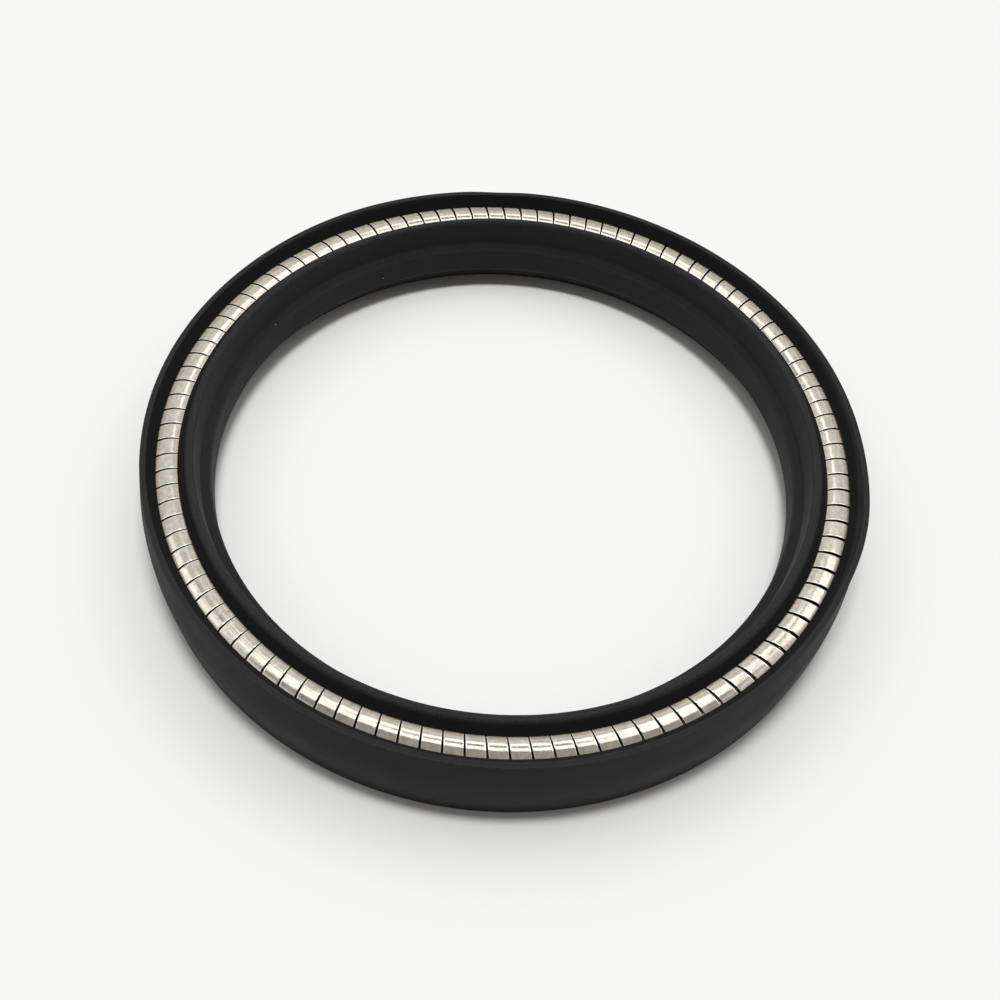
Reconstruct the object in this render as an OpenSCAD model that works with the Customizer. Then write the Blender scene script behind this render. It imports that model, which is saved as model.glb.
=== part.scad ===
// Spring-energized rod seal: a turned U-section jacket that holds a helical ribbon spring
// in its open groove. Millimetres, +Z along the axis, origin at the middle of the base.

/* [Jacket section] */
// Bore of the heel, a little under the 45 mm rod that it grips
bore_d = 44.5; // [30:0.1:80]
// How far the heel reaches in past the inner lip
heel_step = 0.75; // [0.3:0.05:1.5]
// Wall of the inner lip beside the spring
inner_lip_t = 0.49; // [0.4:0.01:1.5]
// Wall of the outer lip beside the spring
outer_lip_t = 0.48; // [0.4:0.01:1.5]
// Solid heel under the spring pocket
heel_h = 2.7; // [2:0.02:5]
// Height of the rim above the middle of the spring
lip_rise = 2.47; // [2.1:0.01:3]

/* [Lips] */
// Flat top of the outer lip
outer_land_w = 0.4; // [0.2:0.05:0.6]
// Flat top of the inner lip
inner_land_w = 0.5; // [0.3:0.05:0.7]
// How far the inner lip stays below the rim
inner_drop = 0.2; // [0:0.05:0.5]
// Set-back of the inner lip's top edge
inner_lean = 0.2; // [0:0.05:0.4]
// Half angle of the mouth, seen from the middle of the spring
mouth_angle = 26; // [15:1:45]
// Lead-in on the outside of the rim, across
lead_in_w = 0.43; // [0.1:0.01:0.6]
// Lead-in on the outside of the rim, along the axis
lead_in_h = 2.7; // [1:0.1:3.2]

/* [Heel] */
// Length of the straight bore
bore_land = 2.1; // [1:0.1:3]
// Fall of the ledge from the inner lip to the bore
ledge_fall = 0.28; // [0.1:0.02:0.6]
// Back chamfer at the bottom of the bore, across
back_chamfer_w = 1.5; // [0.2:0.1:2.5]
// Back chamfer at the bottom of the bore, along the axis
back_chamfer_h = 2.2; // [0.5:0.1:3]
// Taper at the bottom of the outer wall, across
heel_taper_w = 0.22; // [0.05:0.01:0.6]
// Taper at the bottom of the outer wall, along the axis
heel_taper_h = 2.4; // [1:0.1:3]

/* [Edges] */
// Radius of the two edges of the rim
land_edge_r = 0.06; // [0.02:0.01:0.1]
// Radius of the bottom edges
base_edge_r = 0.15; // [0.05:0.01:0.3]
// Radius of the inner lip's top edge and of the ledge's edge
lip_edge_r = 0.22; // [0.05:0.01:0.3]
// Radius between the inner lip's top and the mouth
mouth_edge_r = 0.35; // [0.05:0.05:0.5]
// Fillet between the inner lip and the ledge
ledge_fillet_r = 0.3; // [0.1:0.01:0.4]
// Radius that blends the lead-in and the taper into the outer wall
wall_blend_r = 3; // [0.5:0.1:4]

/* [Energizer spring] */
// Outside diameter of the coiled ribbon
spring_d = 3.4; // [2:0.02:4]
// Thickness of the ribbon
ribbon_t = 0.18; // [0.1:0.01:0.3]
// Gap between turns where they stand closest, on the bore's side of the tube
turn_gap = 0.03; // [0.02:0.01:0.2]
// Turns of ribbon round the ring
turns = 109; // [80:1:130]
// Gap between the two ends of the ribbon, which meet at the bottom of the pocket
end_gap = 0.15; // [0.05:0.01:0.5]
// Room between the ribbon and the pocket
spring_clearance = 0.03; // [0.02:0.01:0.1]

/* [Hidden] */

jacket_colour = [0.13, 0.14, 0.145];
spring_colour = [0.76, 0.74, 0.70];
facets = 128;
fillet_steps = 6;
fillet_share = 0.45; // most of an edge that the round at its end may take
steps_per_turn = 12;
crowding = 0.45; // share by which the ribbon's steps close up at the open top

// Radii from the bore outwards, and heights from the base up
bore_r = bore_d / 2;
pocket_r = spring_d / 2 + spring_clearance;
inner_face_r = bore_r + heel_step;
ring_r = inner_face_r + inner_lip_t + pocket_r;
outer_r = ring_r + pocket_r + outer_lip_t;
pocket_z = heel_h + pocket_r;
rim_z = pocket_z + lip_rise;
inner_top_z = rim_z - inner_drop;
bore_top_z = back_chamfer_h + bore_land;
ledge_z = bore_top_z + ledge_fall;

// Edges of the lands and of the mouth, and the cut's run into the pocket
rim_r = outer_r - lead_in_w;
inner_top_r = inner_face_r + inner_lean;
outer_land_edge = [rim_r - outer_land_w, rim_z];
inner_land_edge = [inner_top_r + inner_land_w, inner_top_z];
outer_mouth_edge = pocket_point(90 - mouth_angle);
inner_mouth_edge = pocket_point(90 + mouth_angle);
mouth_run = pocket_r / 4;

// Ribbon: its pitch on the bore's side of the tube, its width, and the steps along its length
spring_r = spring_d / 2;
turn_pitch = 2 * PI * (ring_r - spring_r) / turns;
ribbon_w = turn_pitch - turn_gap;
end_angle = end_gap / spring_r * 180 / PI;
end_setback = end_angle / 2 / (1 + crowding);
step_count = turns * steps_per_turn;
step_angle = (360 * turns - 2 * end_setback) / step_count;
start_angle = -90 + end_setback;

function unit(v) = v / norm(v);
function past(from, to, run) = to + run * unit(to - from);
function pocket_point(angle) = [ring_r + pocket_r * cos(angle), pocket_z + pocket_r * sin(angle)];

// Points of the arc that rounds corner b, between its neighbours a and c, to radius wanted_r
function rounded_corner(a, b, c, wanted_r) =
    let (
        in_dir = unit(b - a),
        out_dir = unit(c - b),
        turn = atan2(in_dir.x * out_dir.y - in_dir.y * out_dir.x, in_dir * out_dir),
        half_tan = tan(abs(turn) / 2),
        reach = min(wanted_r * half_tan, fillet_share * min(norm(b - a), norm(c - b))),
        r = reach / half_tan,
        start = b - in_dir * reach,
        centre = start + sign(turn) * r * [-in_dir.y, in_dir.x],
        from_angle = atan2(start.y - centre.y, start.x - centre.x)
    )
    [for (i = [0 : fillet_steps])
        let (angle = from_angle + turn * i / fillet_steps)
        centre + r * [cos(angle), sin(angle)]];

// Outline whose corners are [point, radius]; a radius of 0 keeps the corner sharp
function rounded_outline(corners) =
    [for (i = [0 : len(corners) - 1])
        let (
            before = corners[(i + len(corners) - 1) % len(corners)][0],
            corner = corners[i][0],
            after = corners[(i + 1) % len(corners)][0],
            r = corners[i][1]
        )
        each r > 0 ? rounded_corner(before, corner, after, r) : [corner]];

// Half section of the jacket without its pocket, from the base round the outside to the bore
jacket_corners = [
    [[bore_r + back_chamfer_w, 0], base_edge_r],
    [[outer_r - heel_taper_w, 0], base_edge_r],
    [[outer_r, heel_taper_h], wall_blend_r],
    [[outer_r, rim_z - lead_in_h], wall_blend_r],
    [[rim_r, rim_z], land_edge_r],
    [outer_land_edge, land_edge_r],
    [past(outer_land_edge, outer_mouth_edge, mouth_run), 0],
    [past(inner_land_edge, inner_mouth_edge, mouth_run), 0],
    [inner_land_edge, mouth_edge_r],
    [[inner_top_r, inner_top_z], lip_edge_r],
    [[inner_face_r, ledge_z], ledge_fillet_r],
    [[bore_r, bore_top_z], lip_edge_r],
    [[bore_r, back_chamfer_h], base_edge_r]
];

module jacket() {
    color(jacket_colour)
        rotate_extrude($fn = facets)
            difference() {
                polygon(rounded_outline(jacket_corners));
                translate([ring_r, pocket_z])
                    circle(r = pocket_r, $fn = facets);
            }
}

// Tube angle after even steps to angle t, in shorter steps round the top and longer ones below
function tube_angle(t) = t + crowding * cos(t) * 180 / PI;

// Point of the ribbon at tube angle psi, rho from the tube's middle, on one edge (side -1 or 1)
function ribbon_point(psi, rho, side) =
    let (
        edge_angle = side * ribbon_w / 2 / (ring_r + spring_r * cos(psi)) * 180 / PI,
        azimuth = edge_angle - psi / turns,
        r = ring_r + rho * cos(psi)
    )
    [r * cos(azimuth), r * sin(azimuth), pocket_z + rho * sin(psi)];

// The ribbon's section turns round the tube while it travels round the ring
module energizer_spring() {
    inside_r = spring_r - ribbon_t;
    sections = [for (i = [0 : step_count])
        let (psi = tube_angle(start_angle + i * step_angle))
        each [
            ribbon_point(psi, spring_r, -1),
            ribbon_point(psi, spring_r, 1),
            ribbon_point(psi, inside_r, 1),
            ribbon_point(psi, inside_r, -1)
        ]];
    walls = [for (i = [0 : step_count - 1], k = [0 : 3])
        let (
            a = 4 * i + k,
            b = 4 * i + (k + 1) % 4
        )
        each [[a, b + 4, b], [a, a + 4, b + 4]]];
    last = 4 * step_count;
    ends = [[0, 1, 2, 3], [last + 3, last + 2, last + 1, last]];
    color(spring_colour)
        polyhedron(points = sections, faces = concat(walls, ends), convexity = 10);
}

jacket();
energizer_spring();
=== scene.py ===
import bpy
import math
import random
from mathutils import Matrix, Vector


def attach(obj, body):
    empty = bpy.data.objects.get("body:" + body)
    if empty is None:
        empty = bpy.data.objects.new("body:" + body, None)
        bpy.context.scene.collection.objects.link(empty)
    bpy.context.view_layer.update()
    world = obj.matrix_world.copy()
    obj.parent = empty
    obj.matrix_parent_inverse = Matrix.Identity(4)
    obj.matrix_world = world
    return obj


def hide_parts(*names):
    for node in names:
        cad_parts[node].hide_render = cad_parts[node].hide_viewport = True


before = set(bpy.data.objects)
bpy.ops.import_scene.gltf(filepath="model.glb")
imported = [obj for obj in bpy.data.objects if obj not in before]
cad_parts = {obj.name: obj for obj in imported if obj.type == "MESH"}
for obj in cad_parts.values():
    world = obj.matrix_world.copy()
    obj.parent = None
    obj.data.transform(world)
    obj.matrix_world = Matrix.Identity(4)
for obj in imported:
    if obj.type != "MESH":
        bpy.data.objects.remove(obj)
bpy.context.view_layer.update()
scene = bpy.context.scene
scene.view_settings.view_transform = "Standard"
mm = 0.001  # sizes below are in millimetres
print("frame loaded:", ", ".join(sorted(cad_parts)))


def addNode(tree, kind, x, y, **settings):
    node = tree.nodes.new(kind)
    node.location = (x, y)
    for name, value in settings.items():
        setattr(node, name, value)
    return node


def plug(tree, source, target):
    tree.links.new(source, target)


def mathNode(tree, operation, x, y, first, second=None, third=None):
    node = addNode(tree, "ShaderNodeMath", x, y, operation=operation)
    for socket, value in zip(node.inputs, (first, second, third)):
        if isinstance(value, (int, float)):
            socket.default_value = value
        elif value is not None:
            plug(tree, value, socket)
    return node.outputs[0]


def vectorNode(tree, operation, x, y, first, second):
    node = addNode(tree, "ShaderNodeVectorMath", x, y, operation=operation)
    for socket, value in zip(node.inputs, (first, second)):
        if isinstance(value, tuple):
            socket.default_value = value
        else:
            plug(tree, value, socket)
    return node.outputs[0]


def rangeNode(tree, x, y, value, fromLow, fromHigh, toLow, toHigh):
    node = addNode(tree, "ShaderNodeMapRange", x, y, interpolation_type="SMOOTHSTEP")
    plug(tree, value, node.inputs["Value"])
    names = ("From Min", "From Max", "To Min", "To Max")
    for name, number in zip(names, (fromLow, fromHigh, toLow, toHigh)):
        if isinstance(number, (int, float)):
            node.inputs[name].default_value = number
        else:
            plug(tree, number, node.inputs[name])
    return node.outputs["Result"]


def mixColour(tree, x, y, factor, first, second, blend="MIX"):
    node = addNode(tree, "ShaderNodeMix", x, y, data_type="RGBA", blend_type=blend)
    for socket, value in ((node.inputs[0], factor), (node.inputs[6], first), (node.inputs[7], second)):
        if isinstance(value, (int, float)):
            socket.default_value = value
        elif isinstance(value, tuple):
            socket.default_value = (*value, 1)
        else:
            plug(tree, value, socket)
    return node.outputs[2]


def newGroup(name, inputs, outputs):
    group = bpy.data.node_groups.new(name, "ShaderNodeTree")
    for label, kind, value in inputs:
        socket = group.interface.new_socket(label, in_out="INPUT", socket_type=kind)
        socket.default_value = value
    for label in outputs:
        group.interface.new_socket(label, in_out="OUTPUT", socket_type="NodeSocketFloat")
    ends = addNode(group, "NodeGroupInput", -1000, 0), addNode(group, "NodeGroupOutput", 700, 0)
    return group, ends[0].outputs, ends[1].inputs


def useGroup(tree, group, x, y, vector, **values):
    node = addNode(tree, "ShaderNodeGroup", x, y, node_tree=group)
    plug(tree, vector, node.inputs["Vector"])
    for name, value in values.items():
        if isinstance(value, (int, float)):
            node.inputs[name].default_value = value
        else:
            plug(tree, value, node.inputs[name])
    return node.outputs


# lines left by a tool or a roll: x and y run along them, z across, in millimetres
def makeToolLines():
    group, given, made = newGroup(
        "toolLines",
        [("Vector", "NodeSocketVector", (0, 0, 0)), ("Run", "NodeSocketFloat", 5.0),
         ("Pitch", "NodeSocketFloat", 0.1)],
        ["Height", "Bands"],
    )
    scale = addNode(group, "ShaderNodeCombineXYZ", -800, -160)
    for axis, size in (("X", "Run"), ("Y", "Run"), ("Z", "Pitch")):
        plug(group, given[size], scale.inputs[axis])
    place = vectorNode(group, "DIVIDE", -600, 0, given["Vector"], scale.outputs[0])
    fine = addNode(group, "ShaderNodeTexNoise", -400, 120)
    fine.inputs["Scale"].default_value = 1.0
    fine.inputs["Detail"].default_value = 3.0
    plug(group, place, fine.inputs["Vector"])
    broad = addNode(group, "ShaderNodeTexNoise", -400, -160)
    broad.inputs["Scale"].default_value = 0.21
    broad.inputs["Detail"].default_value = 2.0
    plug(group, place, broad.inputs["Vector"])
    fineShare = mathNode(group, "MULTIPLY", -160, 120, fine.outputs["Fac"], 0.65)
    height = mathNode(group, "MULTIPLY_ADD", 60, 60, broad.outputs["Fac"], 0.35, fineShare)
    plug(group, height, made["Height"])
    plug(group, rangeNode(group, 60, -160, broad.outputs["Fac"], 0.3, 0.7, 0.0, 1.0), made["Bands"])
    return group


# cloudy unevenness of a given patch size
def makeMottle():
    group, given, made = newGroup(
        "mottle",
        [("Vector", "NodeSocketVector", (0, 0, 0)), ("Patch", "NodeSocketFloat", 1.0),
         ("Spread", "NodeSocketFloat", 0.2)],
        ["Mask", "Height"],
    )
    density = mathNode(group, "DIVIDE", -780, -120, 1.0, given["Patch"])
    cloud = addNode(group, "ShaderNodeTexNoise", -560, 0)
    cloud.inputs["Detail"].default_value = 3.0
    cloud.inputs["Roughness"].default_value = 0.55
    plug(group, given["Vector"], cloud.inputs["Vector"])
    plug(group, density, cloud.inputs["Scale"])
    low = mathNode(group, "SUBTRACT", -320, -160, 0.5, given["Spread"])
    high = mathNode(group, "ADD", -320, -320, 0.5, given["Spread"])
    plug(group, rangeNode(group, 0, 0, cloud.outputs["Fac"], low, high, 0.0, 1.0), made["Mask"])
    plug(group, cloud.outputs["Fac"], made["Height"])
    return group


# sparse specks, one in some of the cells of a grid with the given spacing
def makeSpecks():
    group, given, made = newGroup(
        "specks",
        [("Vector", "NodeSocketVector", (0, 0, 0)), ("Spacing", "NodeSocketFloat", 1.0),
         ("Size", "NodeSocketFloat", 0.05), ("Share", "NodeSocketFloat", 0.2)],
        ["Mask"],
    )
    density = mathNode(group, "DIVIDE", -780, -120, 1.0, given["Spacing"])
    cells = addNode(group, "ShaderNodeTexVoronoi", -560, 0)
    plug(group, given["Vector"], cells.inputs["Vector"])
    plug(group, density, cells.inputs["Scale"])
    reach = mathNode(group, "DIVIDE", -560, -320, given["Size"], given["Spacing"])
    dot = mathNode(group, "LESS_THAN", -300, 60, cells.outputs["Distance"], reach)
    tint = addNode(group, "ShaderNodeSeparateColor", -320, -160)
    plug(group, cells.outputs["Color"], tint.inputs[0])
    chosen = mathNode(group, "LESS_THAN", -100, -160, tint.outputs[0], given["Share"])
    plug(group, mathNode(group, "MULTIPLY", 200, 0, dot, chosen), made["Mask"])
    return group


# how near a place is to a circle round the axis
def makeRingBand():
    group, given, made = newGroup(
        "ringBand",
        [("Vector", "NodeSocketVector", (0, 0, 0)), ("Middle", "NodeSocketFloat", 25.0),
         ("Near", "NodeSocketFloat", 1.0), ("Far", "NodeSocketFloat", 2.0)],
        ["Close", "Away"],
    )
    flat = vectorNode(group, "MULTIPLY", -780, 0, given["Vector"], (1.0, 1.0, 0.0))
    reach = addNode(group, "ShaderNodeVectorMath", -580, 0, operation="LENGTH")
    plug(group, flat, reach.inputs[0])
    offset = mathNode(group, "SUBTRACT", -380, 0, reach.outputs["Value"], given["Middle"])
    offset = mathNode(group, "ABSOLUTE", -180, 0, offset)
    plug(group, rangeNode(group, 100, 150, offset, given["Near"], given["Far"], 1.0, 0.0), made["Close"])
    plug(group, rangeNode(group, 100, -150, offset, given["Near"], given["Far"], 0.0, 1.0), made["Away"])
    return group


toolLines = makeToolLines()
mottle = makeMottle()
specks = makeSpecks()
ringBand = makeRingBand()
print("shared groups made")


def newMaterial(name):
    material = bpy.data.materials.new(name)
    material.use_nodes = True
    tree = material.node_tree
    shader = tree.nodes["Principled BSDF"]
    shader.location = (900, 0)
    tree.nodes["Material Output"].location = (1200, 0)
    return material, tree, shader


# the object's own space in millimetres
def objectPlace(tree):
    coords = addNode(tree, "ShaderNodeTexCoord", -1500, 200)
    return vectorNode(tree, "MULTIPLY", -1300, 200, coords.outputs["Object"], (1 / mm, 1 / mm, 1 / mm))


# the piece's own map: X along it or round the ring, Y across, in millimetres
def mapPlace(tree):
    ownMap = addNode(tree, "ShaderNodeUVMap", -1500, -200, uv_map="ownMap")
    split = addNode(tree, "ShaderNodeSeparateXYZ", -1300, -200)
    plug(tree, ownMap.outputs[0], split.inputs[0])
    return split.outputs


def edgeWeight(tree):
    return addNode(tree, "ShaderNodeAttribute", -1500, -500, attribute_name="edge").outputs["Fac"]


def bumpNode(tree, x, y, height, strength, distance, normal=None):
    node = addNode(tree, "ShaderNodeBump", x, y)
    node.inputs["Strength"].default_value = strength
    node.inputs["Distance"].default_value = distance
    plug(tree, height, node.inputs["Height"])
    if normal is not None:
        plug(tree, normal, node.inputs["Normal"])
    return node.outputs["Normal"]


def makeObject(name, points, faces, mapped, edges, material):
    mesh = bpy.data.meshes.new(name)
    mesh.from_pydata([Vector(p) * mm for p in points], [], faces)
    layer = mesh.uv_layers.new(name="ownMap")
    layer.data.foreach_set("uv", [x for pair in mapped for x in pair])
    weight = mesh.attributes.new("edge", "FLOAT", "POINT")
    weight.data.foreach_set("value", edges)
    mesh.polygons.foreach_set("use_smooth", [True] * len(mesh.polygons))
    mesh.update()
    mesh.materials.append(material)
    piece = bpy.data.objects.new(name, mesh)
    scene.collection.objects.link(piece)
    return piece


# jacket: black filled plastic, turned in one piece
jacketLook = {
    "dark": (0.0114, 0.0119, 0.0122),
    "pale": (0.0186, 0.0192, 0.0196),
    # painted shade for the groove's mouth, darker than the plastic itself
    "cut": (0.0064, 0.0066, 0.0068),
    "mirrored": (0.50, 0.47, 0.42),  # painted reflection: for glossy rays the jacket turns this mid-grey, so the ribbon reflects it brighter than it is
    "rubbed": (0.031, 0.032, 0.033),
    "dust": (0.17, 0.16, 0.14),
    "fleck": (0.34, 0.33, 0.30),
    "settled": 0.035,  # share of dust on what faces up
    "upward": (0.94, 0.995),  # from where to where a face counts as facing up
    "mouth": {"Middle": 25.22, "Near": 1.25, "Far": 1.45},  # round the groove the colour is darkened as painted shade, and the roughness rises
    "cutShare": 0.9,
    "cutRough": 0.85,
    "roughLow": 0.59,
    "roughHigh": 0.71,
    "specular": 0.14,
    "toolMarks": {"Run": 9.0, "Pitch": 0.10},
    "toolDepth": 0.004 * mm,
    "clouds": {"Patch": 2.2, "Spread": 0.22},
    "grain": {"Patch": 0.14, "Spread": 0.18},
    "grainDepth": 0.003 * mm,
    "flecks": {"Spacing": 1.1, "Size": 0.05, "Share": 0.08},
}


def makeJacketMaterial(look):
    material, tree, shader = newMaterial("filledPlastic")
    place = objectPlace(tree)
    split = addNode(tree, "ShaderNodeSeparateXYZ", -1100, 0)
    plug(tree, place, split.inputs[0])
    turned = addNode(tree, "ShaderNodeCombineXYZ", -900, 0)
    plug(tree, split.outputs["X"], turned.inputs["X"])
    plug(tree, split.outputs["Y"], turned.inputs["Y"])
    plug(tree, mapPlace(tree)["Y"], turned.inputs["Z"])
    lines = useGroup(tree, toolLines, -650, 300, turned.outputs[0], **look["toolMarks"])
    clouds = useGroup(tree, mottle, -650, 0, place, **look["clouds"])
    grain = useGroup(tree, mottle, -650, -250, place, **look["grain"])
    flecks = useGroup(tree, specks, -650, -500, place, **look["flecks"])
    mouth = useGroup(tree, ringBand, -650, 600, place, **look["mouth"])
    tone = mathNode(tree, "ADD", -380, 200, lines["Bands"], clouds["Mask"])
    tone = mathNode(tree, "MULTIPLY", -200, 200, tone, 0.5)
    colour = mixColour(tree, 0, 250, tone, look["dark"], look["pale"])
    # painted shade: round the groove's mouth the colour is darkened
    cut = mathNode(tree, "MULTIPLY", -140, 600, mouth["Close"], look["cutShare"])
    colour = mixColour(tree, 120, 400, cut, colour, look["cut"])
    rub = mathNode(tree, "MULTIPLY", -200, -100, edgeWeight(tree), grain["Mask"])
    colour = mixColour(tree, 280, 250, rub, colour, look["rubbed"])
    shape = addNode(tree, "ShaderNodeNewGeometry", -650, -750)
    facing = addNode(tree, "ShaderNodeSeparateXYZ", -450, -750)
    plug(tree, shape.outputs["Normal"], facing.inputs[0])
    settled = rangeNode(tree, -200, -750, facing.outputs["Z"], *look["upward"], 0.0, look["settled"])
    colour = mixColour(tree, 440, 250, settled, colour, look["dust"])
    colour = mixColour(tree, 600, 250, flecks["Mask"], colour, look["fleck"])
    # painted reflection: glossy rays see the jacket in the pale 'mirrored' colour, which lifts its
    # reflection in the ribbon
    rays = addNode(tree, "ShaderNodeLightPath", 600, 600)
    colour = mixColour(tree, 760, 250, rays.outputs["Is Glossy Ray"], colour, look["mirrored"])
    plug(tree, colour, shader.inputs["Base Color"])
    rough = rangeNode(tree, 200, 0, tone, 0.0, 1.0, look["roughLow"], look["roughHigh"])
    rough = rangeNode(tree, 400, 0, mouth["Close"], 0.0, 1.0, rough, look["cutRough"])
    plug(tree, rough, shader.inputs["Roughness"])
    normal = bumpNode(tree, 400, -250, lines["Height"], 1.0, look["toolDepth"])
    normal = bumpNode(tree, 600, -250, grain["Height"], 1.0, look["grainDepth"], normal)
    plug(tree, normal, shader.inputs["Normal"])
    shader.inputs["Specular IOR Level"].default_value = look["specular"]
    return material


jacketSize = {
    "boreR": 22.25, "innerFaceR": 23.0, "innerTopR": 23.2, "ringR": 25.22, "rimR": 27.0, "outerR": 27.43,
    "rimZ": 6.9, "innerTopZ": 6.7, "ledgeZ": 4.58, "boreTopZ": 4.3, "chamferZ": 2.2, "chamferW": 1.5,
    "pocketZ": 4.43, "pocketR": 1.73, "mouthAngle": 26.0,
    "outerLand": 0.4, "innerLand": 0.5, "leadIn": 2.7, "taperW": 0.22, "taperZ": 2.4,
    "landR": 0.06, "baseR": 0.15, "lipR": 0.22, "mouthEdgeR": 0.35, "ledgeR": 0.3, "wallR": 9.0,
    "mouthR": 0.04, "filletShare": 0.45,
    "flareZ": 4.2,
    "flare": [(348, 0.22, 11), (8, 0.19, 38), (126, 0.10, 16), (96, -0.14, 4)],  # azimuth, rise, width
    "arcSteps": 48, "filletSteps": 6, "stretch": 0.6, "support": 0.04, "segments": 288,
}


# arc that rounds a corner; it takes at most a share of the shorter side
def roundCorner(before, corner, after, wantedR, s):
    inward, outward = corner - before, after - corner
    shorter = min(inward.length, outward.length)
    inward.normalize()
    outward.normalize()
    turn = math.atan2(inward.x * outward.y - inward.y * outward.x, inward.dot(outward))
    halfTan = math.tan(abs(turn) / 2)
    reach = min(wantedR * halfTan, s["filletShare"] * shorter)
    radius = reach / halfTan
    start = corner - inward * reach
    side = 1 if turn > 0 else -1
    centre = start + side * radius * Vector((-inward.y, inward.x))
    first = math.atan2(start.y - centre.y, start.x - centre.x)
    angles = [first + turn * i / s["filletSteps"] for i in range(s["filletSteps"] + 1)]
    return [centre + radius * Vector((math.cos(a), math.sin(a))) for a in angles]


# half section of the jacket as corners with their radius and how much they get rubbed
def jacketCorners(s):
    mouth = math.radians(s["mouthAngle"])
    mouthX, mouthZ = s["pocketR"] * math.sin(mouth), s["pocketZ"] + s["pocketR"] * math.cos(mouth)
    corners = [
        (s["boreR"] + s["chamferW"], 0, s["baseR"], 0.6),
        (s["outerR"] - s["taperW"], 0, s["baseR"], 0.8),
        (s["outerR"], s["taperZ"], s["wallR"], 0),
        (s["outerR"], s["rimZ"] - s["leadIn"], s["wallR"], 0),
        (s["rimR"], s["rimZ"], s["landR"], 1),
        (s["rimR"] - s["outerLand"], s["rimZ"], s["landR"], 0.8),
        (s["ringR"] + mouthX, mouthZ, s["mouthR"], 0.5),
    ]
    for i in range(1, s["arcSteps"]):
        angle = math.pi / 2 - mouth - (2 * math.pi - 2 * mouth) * i / s["arcSteps"]
        x = s["ringR"] + s["pocketR"] * math.cos(angle)
        corners.append((x, s["pocketZ"] + s["pocketR"] * math.sin(angle), 0, 0))
    return corners + [
        (s["ringR"] - mouthX, mouthZ, s["mouthR"], 0.5),
        (s["innerTopR"] + s["innerLand"], s["innerTopZ"], s["mouthEdgeR"], 0.5),
        (s["innerTopR"], s["innerTopZ"], s["lipR"], 0.7),
        (s["innerFaceR"], s["ledgeZ"], s["ledgeR"], 0),
        (s["boreR"], s["boreTopZ"], s["lipR"], 0.6),
        (s["boreR"], s["chamferZ"], s["baseR"], 0.5),
    ]


def jacketOutline(s):
    corners = jacketCorners(s)
    spots = [Vector((r, z)) for r, z, radius, rub in corners]
    rounded = []
    for i, (r, z, radius, rub) in enumerate(corners):
        if radius > 0:
            arc = roundCorner(spots[i - 1], spots[i], spots[(i + 1) % len(spots)], radius, s)
            rounded += [(p, rub) for p in arc]
        else:
            rounded.append((spots[i], rub))
    outline = []
    for i, (p, rub) in enumerate(rounded):
        outline.append((p, rub))
        q = rounded[(i + 1) % len(rounded)][0]
        length = (q - p).length
        if length > 4 * s["support"]:  # points close to the rounds keep straight parts straight
            pieces = math.ceil(length / s["stretch"])
            close = s["support"] / length
            shares = [close] + [n / pieces for n in range(1, pieces)] + [1 - close]
            outline += [(p.lerp(q, share), 0) for share in shares]
    return outline


# how far the soft outer lip stands out of round at an azimuth
def lipFlare(s, angle):
    total = 0.0
    for azimuth, rise, width in s["flare"]:
        away = (math.degrees(angle) - azimuth + 180) % 360 - 180
        total += rise * math.exp(-(away / width) ** 2)
    return total


def makeJacket(s, material):
    outline = jacketOutline(s)
    count, segments = len(outline), s["segments"]
    lengths = [0.0]
    for i in range(count):
        lengths.append(lengths[-1] + (outline[(i + 1) % count][0] - outline[i][0]).length)
    points, faces, mapped, edges = [], [], [], []
    for j in range(segments):
        angle = 2 * math.pi * j / segments
        flare = lipFlare(s, angle)
        for p, rub in outline:
            lift = (p.y - s["flareZ"]) / (s["rimZ"] - s["flareZ"])
            r = p.x + flare * lift ** 3 if p.x > s["ringR"] and lift > 0 else p.x
            points.append((r * math.cos(angle), r * math.sin(angle), p.y))
            edges.append(rub)
    for j in range(segments):
        nextJ = (j + 1) % segments
        uNow, uNext = (2 * math.pi * s["ringR"] * n / segments for n in (j, j + 1))
        for k in range(count):
            nextK = (k + 1) % count
            faces.append((j * count + k, nextJ * count + k, nextJ * count + nextK, j * count + nextK))
            vNow, vNext = lengths[k], lengths[k + 1]
            mapped += [(uNow, vNow), (uNext, vNow), (uNext, vNext), (uNow, vNext)]
    return makeObject("jacket_turned", points, faces, mapped, edges, material)


jacket = makeJacket(jacketSize, makeJacketMaterial(jacketLook))
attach(jacket, "root")
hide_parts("jacket")
print("jacket turned:", len(jacket.data.polygons), "faces")


# energizer spring: flat stainless ribbon, wound into a tube and bent to a ring
springLook = {
    "dull": (0.62, 0.57, 0.49),
    "bright": (0.87, 0.81, 0.71),
    "stain": (0.40, 0.355, 0.30),
    # painted highlight: the bright line along the ribbon's edges beside each gap
    "edge": (0.95, 0.91, 0.84),
    # painted shade in the gaps between turns
    "gapShade": (0.05, 0.047, 0.043),
    "roughLow": 0.09,
    "roughHigh": 0.15,
    "metal": 0.72,
    "rollMarks": {"Run": 2.6, "Pitch": 0.085},
    "rollDepth": 0.0006 * mm,
    "waves": {"Patch": 0.45, "Spread": 0.16},
    "waveDepth": 0.0009 * mm,
    "stains": {"Patch": 0.4, "Spread": 0.12},
    "stainShare": 0.28,
    "spots": {"Patch": 0.22},
    "spotRange": (0.55, 0.68),
    "spotShare": 0.6,
    "edgeHighlightLine": (0.0, 0.5),  # edge weights of the painted highlight line beside a gap
    "edgeHighlightShare": 0.8,
    "gapShadeLine": (0.7, 0.95),  # and of the sides in the gap, which get painted shade
}


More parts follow.
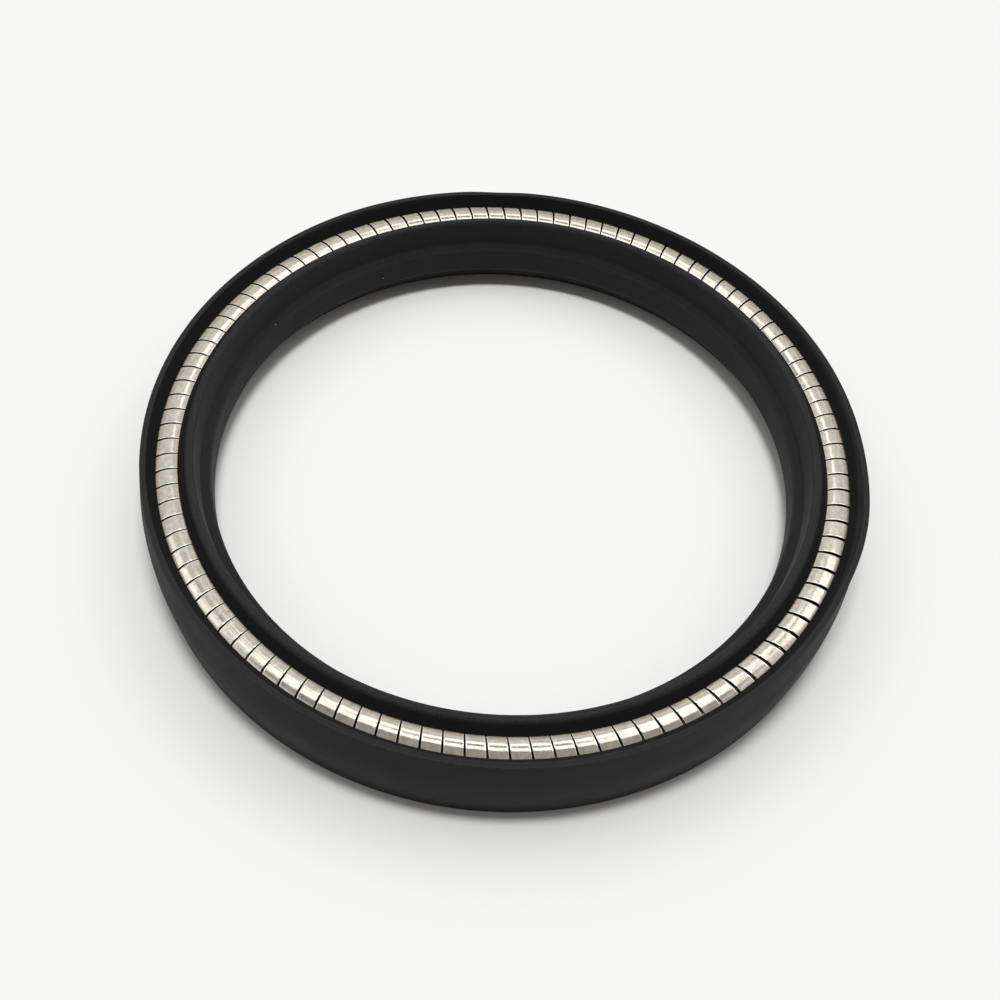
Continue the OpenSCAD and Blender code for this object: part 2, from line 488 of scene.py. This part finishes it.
def makeSpringMaterial(look):
    material, tree, shader = newMaterial("rolledStainless")
    place, mapped, edge = objectPlace(tree), mapPlace(tree), edgeWeight(tree)
    ribbon = addNode(tree, "ShaderNodeCombineXYZ", -1000, -100)
    plug(tree, mapped["X"], ribbon.inputs["X"])
    plug(tree, mapped["Y"], ribbon.inputs["Z"])
    lines = useGroup(tree, toolLines, -650, 300, ribbon.outputs[0], **look["rollMarks"])
    waves = useGroup(tree, mottle, -650, 0, ribbon.outputs[0], **look["waves"])
    stains = useGroup(tree, mottle, -650, -250, place, **look["stains"])
    spots = useGroup(tree, mottle, -650, -500, place, **look["spots"])
    tone = mathNode(tree, "MULTIPLY", -380, 200, lines["Height"], 0.6)
    tone = mathNode(tree, "MULTIPLY_ADD", -200, 200, waves["Mask"], 0.4, tone)
    colour = mixColour(tree, 0, 250, tone, look["dull"], look["bright"])
    stained = mathNode(tree, "MULTIPLY", -180, 0, stains["Mask"], look["stainShare"])
    spotted = rangeNode(tree, -180, -350, spots["Height"], *look["spotRange"], 0.0, look["spotShare"])
    stained = mathNode(tree, "MAXIMUM", 0, 0, stained, spotted)
    colour = mixColour(tree, 200, 250, stained, colour, look["stain"])
    # painted highlight: a bright line along each edge of the ribbon beside the gaps
    edgeHighlight = rangeNode(tree, 0, -150, edge, *look["edgeHighlightLine"], 0.0, look["edgeHighlightShare"])
    colour = mixColour(tree, 400, 250, edgeHighlight, colour, look["edge"])
    # painted shade: the ribbon's sides in the gaps are darkened
    gapShade = rangeNode(tree, 200, -150, edge, *look["gapShadeLine"], 0.0, 1.0)
    colour = mixColour(tree, 600, 250, gapShade, colour, look["gapShade"])
    plug(tree, colour, shader.inputs["Base Color"])
    rough = rangeNode(tree, 200, 0, lines["Bands"], 0.0, 1.0, look["roughLow"], look["roughHigh"])
    plug(tree, rough, shader.inputs["Roughness"])
    normal = bumpNode(tree, 400, -250, lines["Height"], 1.0, look["rollDepth"])
    normal = bumpNode(tree, 600, -250, waves["Height"], 1.0, look["waveDepth"], normal)
    plug(tree, normal, shader.inputs["Normal"])
    shader.inputs["Metallic"].default_value = look["metal"]
    return material


springSize = {
    "ringR": 25.22, "tubeZ": 4.43, "tubeR": 1.7, "thick": 0.18, "width": 1.325, "turns": 109,
    "edgeR": 0.03, "edgeSteps": 3, "edgeBand": 0.87, "endGap": 0.15, "stepsPerTurn": 30,
    "gapPhase": 1.847,  # degrees: where the first gap shows on top of the tube
    "drift": [(-0.375, 0.927), (0.444, 0.069), (0.206, -0.012), (0.091, -0.099), (0.027, -0.125)],
    "tilt": 0.7,  # degrees by which a turn may lie askew
    "seed": 109,
}


# slow drift of the turns round the ring, in degrees, as cosine and sine shares of each wave
def turnDrift(s, azimuth):
    total = 0.0
    for n, (c, d) in enumerate(s["drift"], 1):
        total += c * math.cos(n * azimuth) + d * math.sin(n * azimuth)
    return total


# section of the ribbon: place across, depth below the tube's outside, edge weight
def ribbonSection(s):
    half, edgeR, thick = s["width"] / 2, s["edgeR"], s["thick"]
    flat = half - edgeR
    band = flat * s["edgeBand"]  # the painted highlight line lies outside of it
    section = [(-flat, 0, 0.5), (-band, 0, 0), (0, 0, 0), (band, 0, 0), (flat, 0, 0.5)]
    corners = [  # middle of the round, its first angle, and what follows it
        (flat, edgeR, 90, [(half, thick - edgeR, 1)]),
        (flat, thick - edgeR, 0, [(flat * 0.5, thick, 0), (-flat * 0.5, thick, 0), (-flat, thick, 1)]),
        (-flat, thick - edgeR, -90, [(-half, edgeR, 1)]),
        (-flat, edgeR, -180, []),
    ]
    for x, depth, first, after in corners:
        for n in range(1, s["edgeSteps"] + 1):
            angle = math.radians(first - 90 * n / s["edgeSteps"])
            section.append((x + edgeR * math.cos(angle), depth - edgeR * math.sin(angle), 1))
        section += after
    return section[:-1]  # the last point is the first again


def makeSpring(s, material):
    section = ribbonSection(s)
    count = len(section)
    lengths = [0.0]
    for i in range(count):
        a, b = section[i], section[(i + 1) % count]
        lengths.append(lengths[-1] + math.hypot(b[0] - a[0], b[1] - a[1]))
    draw = random.Random(s["seed"])
    tilts = [math.radians(draw.gauss(0, s["tilt"] / 2)) for n in range(s["turns"] + 1)]
    steps = s["turns"] * s["stepsPerTurn"]
    endAngle = s["endGap"] / s["tubeR"]
    whole = 2 * math.pi * s["turns"] - endAngle
    pitch = 2 * math.pi / s["turns"]
    points, edges, faces, mapped = [], [], [], []
    for i in range(steps + 1):
        psi = -math.pi / 2 + endAngle / 2 + whole * i / steps
        nominal = pitch / 2 - (psi - math.pi / 2) / s["turns"]
        azimuth = nominal + math.radians(s["gapPhase"] + turnDrift(s, nominal))
        turn = (psi + math.pi / 2) / (2 * math.pi)  # whole numbers fall at the bottom of the tube
        tilt = tilts[min(int(turn), s["turns"] - 1)] * math.sin(math.pi * (turn % 1)) ** 2
        for across, depth, edge in section:
            rho = s["tubeR"] - depth + across * math.tan(tilt)
            r = s["ringR"] + rho * math.cos(psi)
            x = r * math.cos(azimuth) - across * math.sin(azimuth)
            y = r * math.sin(azimuth) + across * math.cos(azimuth)
            points.append((x, y, s["tubeZ"] + rho * math.sin(psi)))
            edges.append(edge)
    for i in range(steps):
        uNow, uNext = (s["tubeR"] * whole * n / steps for n in (i, i + 1))
        for k in range(count):
            nextK = (k + 1) % count
            faces.append((i * count + k, i * count + nextK, (i + 1) * count + nextK, (i + 1) * count + k))
            vNow, vNext = lengths[k], lengths[k + 1]
            mapped += [(uNow, vNow), (uNow, vNext), (uNext, vNext), (uNext, vNow)]
    for first in (0, steps * count):  # the ribbon's two cut ends
        cap = [first + k for k in range(count)]
        faces.append(tuple(reversed(cap)) if first == 0 else tuple(cap))
        mapped += [(section[k - first][0], section[k - first][1]) for k in faces[-1]]
    return makeObject("spring_ribbon", points, faces, mapped, edges, material)


spring = makeSpring(springSize, makeSpringMaterial(springLook))
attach(spring, "root")
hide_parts("energizer_spring")
print("spring wound:", len(spring.data.polygons), "faces")


# pale table under the seal
tableLook = {
    "paper": (0.82, 0.825, 0.82),
    "shade": (0.805, 0.81, 0.805),
    "backdrop": (0.93, 0.932, 0.91),
    "shadow": {"Middle": 25.22, "Near": 3.6, "Far": 12.5},  # beyond it comes the backdrop
    "clouds": {"Patch": 25.0, "Spread": 0.3},
    "grain": {"Patch": 0.4},
    "grainDepth": 0.01 * mm,
    "rough": 0.85,
    "specular": 0.1,
    "size": 1.6,
    "drop": 0.02 * mm,  # stays just under the seal's base
}


def makeTable(look):
    material, tree, shader = newMaterial("paleTable")
    place = objectPlace(tree)
    clouds = useGroup(tree, mottle, -650, 0, place, **look["clouds"])
    colour = mixColour(tree, 0, 250, clouds["Mask"], look["paper"], look["shade"])
    plug(tree, colour, shader.inputs["Base Color"])
    grain = useGroup(tree, mottle, -650, -250, place, **look["grain"])
    plug(tree, bumpNode(tree, 400, -250, grain["Height"], 0.2, look["grainDepth"]), shader.inputs["Normal"])
    shader.inputs["Roughness"].default_value = look["rough"]
    shader.inputs["Specular IOR Level"].default_value = look["specular"]
    shadow = useGroup(tree, ringBand, 400, 500, place, **look["shadow"])
    rays = addNode(tree, "ShaderNodeLightPath", 400, 900)
    seen = mathNode(tree, "MAXIMUM", 600, 800, rays.outputs["Is Camera Ray"], rays.outputs["Is Glossy Ray"])
    glow = addNode(tree, "ShaderNodeEmission", 900, 300)
    glow.inputs["Color"].default_value = (*look["backdrop"], 1)
    surface = addNode(tree, "ShaderNodeMixShader", 1200, 200)
    plug(tree, mathNode(tree, "MULTIPLY", 900, 500, shadow["Away"], seen), surface.inputs[0])
    plug(tree, shader.outputs[0], surface.inputs[1])
    plug(tree, glow.outputs[0], surface.inputs[2])
    plug(tree, surface.outputs[0], tree.nodes["Material Output"].inputs["Surface"])
    half = look["size"] / 2
    mesh = bpy.data.meshes.new("table")
    corners = [(-half, -half, 0), (half, -half, 0), (half, half, 0), (-half, half, 0)]
    mesh.from_pydata(corners, [], [(0, 1, 2, 3)])
    mesh.materials.append(material)
    table = bpy.data.objects.new("table", mesh)
    table.location.z = -look["drop"]
    scene.collection.objects.link(table)


makeTable(tableLook)


# studio: a lamp in the roof of a white booth, panes round a dark hole, and a dim front
boothLight = {
    "roof": 0.29,
    "panes": [  # left, right, near, far, radiance, and if it shows in reflections
        (-0.130, 0.130, 0.004, 0.080, 1.7, True),
        (-0.110, -0.034, 0.080, 0.102, 1.7, True),
        (0.040, 0.125, 0.080, 0.102, 1.7, True),
        (-0.085, -0.022, 0.102, 0.136, 1.7, True),
        (0.026, 0.110, 0.102, 0.136, 1.7, True),
        (-0.045, 0.080, 0.136, 0.188, 1.7, True),
        (-0.014, 0.040, 0.188, 0.214, 1.7, True),
        (-0.450, -0.130, -0.010, 0.110, 0.76, True),
        (0.130, 0.550, 0.060, 0.190, 1.05, True),
        (-0.045, 0.045, -0.019, 0.021, 42.0, False),
    ],
    "walls": [(0.0, 0.40), (0.28, 0.60), (0.35, 0.72), (0.44, 0.79), (0.52, 0.77),
              (0.62, 0.63), (0.69, 0.58), (0.80, 0.82), (0.88, 0.10)],
    "front": [(0.0, 0.30), (0.30, 0.22), (0.50, 0.12), (0.85, 0.19), (1.0, 0.21)],
    "frontTint": (1.0, 0.93, 0.86),
    "frontBend": (0.35, -0.25),  # the front opens to the left
    "frontEdge": (-0.10, -0.02),
    "wallTint": (1.0, 0.995, 0.98),
    "backdrop": (0.93, 0.932, 0.91),
}


def makePanes(look):
    for n, (left, right, near, far, radiance, mirrored) in enumerate(look["panes"]):
        light = bpy.data.lights.new("pane%d" % n, "AREA")
        light.shape = "RECTANGLE"
        light.size = right - left
        light.size_y = far - near
        light.energy = radiance * math.pi * light.size * light.size_y
        lamp = bpy.data.objects.new("pane%d" % n, light)
        lamp.location = ((left + right) / 2, (near + far) / 2, look["roof"])
        lamp.visible_camera = False
        lamp.visible_glossy = mirrored
        scene.collection.objects.link(lamp)


def levelRamp(tree, x, y, height, levels, tint):
    ramp = addNode(tree, "ShaderNodeValToRGB", x, y)
    stops = ramp.color_ramp.elements
    while len(stops) < len(levels):
        stops.new(0.5)
    for stop, (place, level) in zip(stops, levels):
        stop.position = place
        stop.color = (*(level * share for share in tint), 1)
    plug(tree, height, ramp.inputs["Fac"])
    return ramp.outputs["Color"]


def makeBooth(look):
    world = bpy.data.worlds.new("booth")
    world.use_nodes = True
    scene.world = world
    tree = world.node_tree
    coords = addNode(tree, "ShaderNodeTexCoord", -1100, 0)
    split = addNode(tree, "ShaderNodeSeparateXYZ", -900, 0)
    plug(tree, coords.outputs["Generated"], split.inputs[0])
    walls = levelRamp(tree, -500, 250, split.outputs["Z"], look["walls"], look["wallTint"])
    front = levelRamp(tree, -500, 0, split.outputs["Z"], look["front"], look["wallTint"])
    front = mixColour(tree, -200, 0, 1.0, front, look["frontTint"], "MULTIPLY")
    bend = mathNode(tree, "MULTIPLY_ADD", -700, -250, split.outputs["X"], *look["frontBend"])
    lean = mathNode(tree, "MULTIPLY_ADD", -500, -250, bend, split.outputs["X"], split.outputs["Y"])
    ahead = rangeNode(tree, -300, -250, lean, *look["frontEdge"], 1.0, 0.0)
    colour = mixColour(tree, 0, 100, ahead, walls, front)
    rays = addNode(tree, "ShaderNodeLightPath", -200, 500)
    colour = mixColour(tree, 200, 100, rays.outputs["Is Camera Ray"], colour, look["backdrop"])
    plug(tree, colour, tree.nodes["Background"].inputs["Color"])


makePanes(boothLight)
makeBooth(boothLight)
print("booth lit")


# camera: close above the front of the ring, with a slight roll
view = {"pitch": 54.43, "roll": 5.55, "at": (-0.027, -56.886, 77.351), "lens": 43.2}


def makeCamera(v):
    pitch, roll = math.radians(v["pitch"]), math.radians(v["roll"])
    right = Vector((1, 0, 0))
    up = Vector((0, math.sin(pitch), math.cos(pitch)))
    ahead = Vector((0, math.cos(pitch), -math.sin(pitch)))
    camX = right * math.cos(roll) + up * math.sin(roll)
    camY = up * math.cos(roll) - right * math.sin(roll)
    data = bpy.data.cameras.new("camera")
    data.lens = v["lens"]
    data.sensor_width = 36.0
    data.clip_start = 0.001
    camera = bpy.data.objects.new("camera", data)
    turn = Matrix((camX, camY, -ahead)).transposed().to_4x4()
    camera.matrix_world = Matrix.Translation(Vector(v["at"]) * mm) @ turn
    scene.collection.objects.link(camera)
    scene.camera = camera


makeCamera(view)
print("camera placed")
